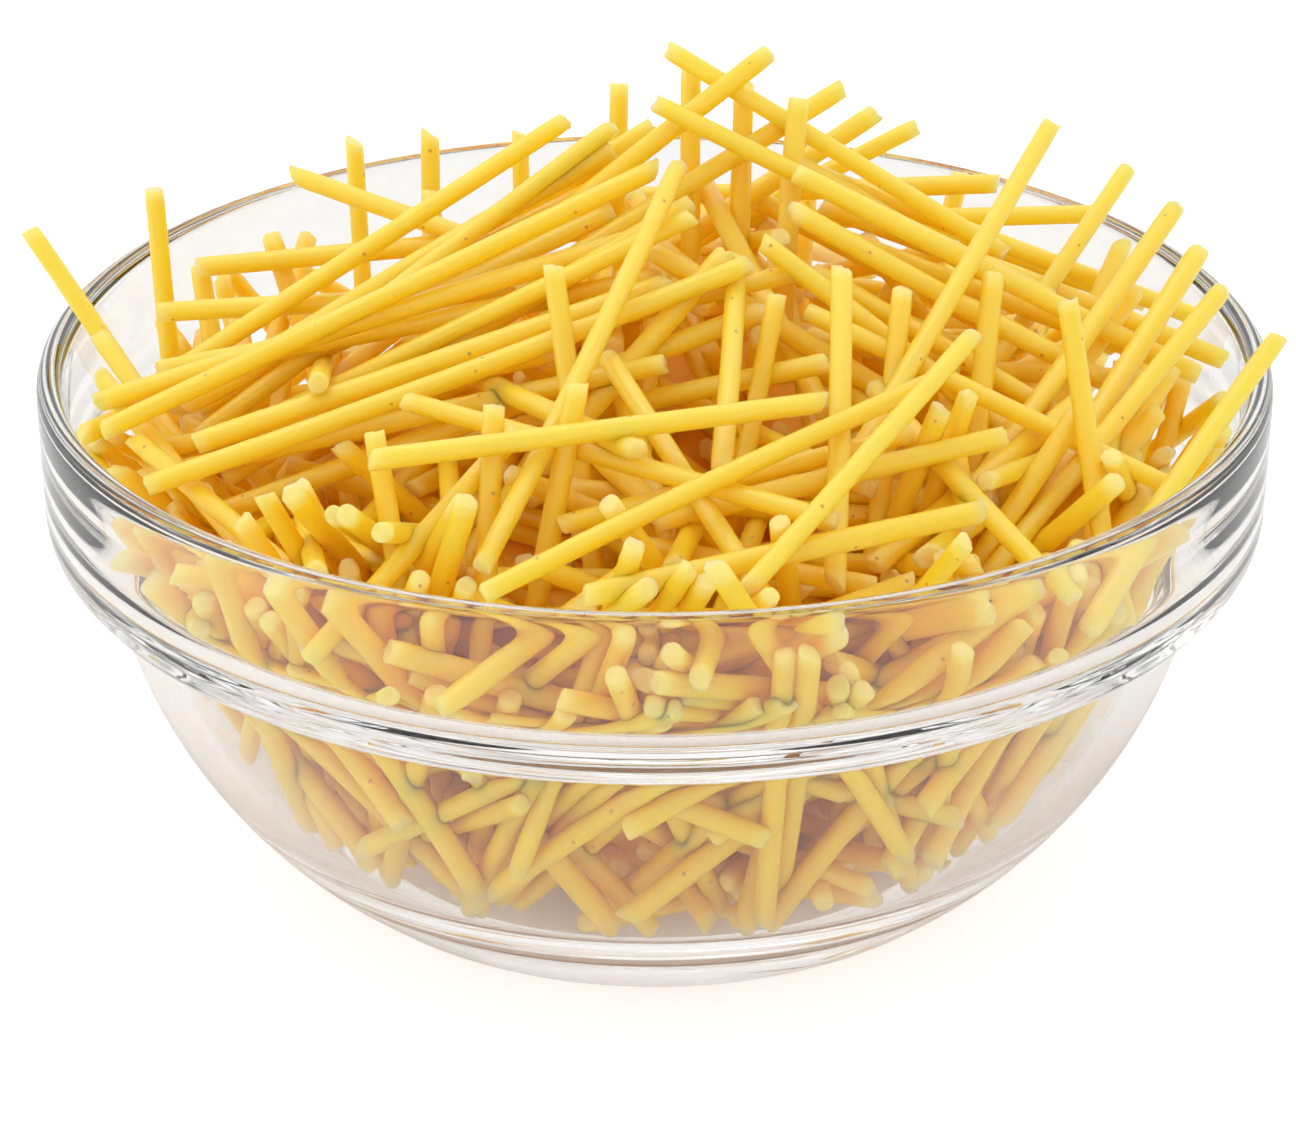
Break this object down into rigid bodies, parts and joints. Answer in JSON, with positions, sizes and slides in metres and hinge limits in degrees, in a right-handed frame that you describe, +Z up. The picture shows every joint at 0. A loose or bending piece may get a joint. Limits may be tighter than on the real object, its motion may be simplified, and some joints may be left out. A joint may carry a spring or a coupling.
{
  "type": "glass bowl heaped with broken dry spaghetti",
  "caption": "Clear round stackable glass bowl with a thick band under its lip, heaped above the rim with short broken pieces of dry spaghetti pointing all ways.",
  "frame": {"origin": "middle of the bowl's flat foot, on the surface it stands on", "axes": "+Z up along the bowl's axis; -Y towards the front of the heap, the side where the short ends stand against the near wall; +X to the right seen from the front"},
  "size_m": [0.1072, 0.105, 0.0679],
  "materials": {
    "glass": "smooth clear pressed glass",
    "pasta": "satin, slightly translucent dry pasta"
  },
  "bodies": {
    "root": {"glass_bowl": "glass", "spaghetti_heap": "pasta"}
  },
  "joints": []
}
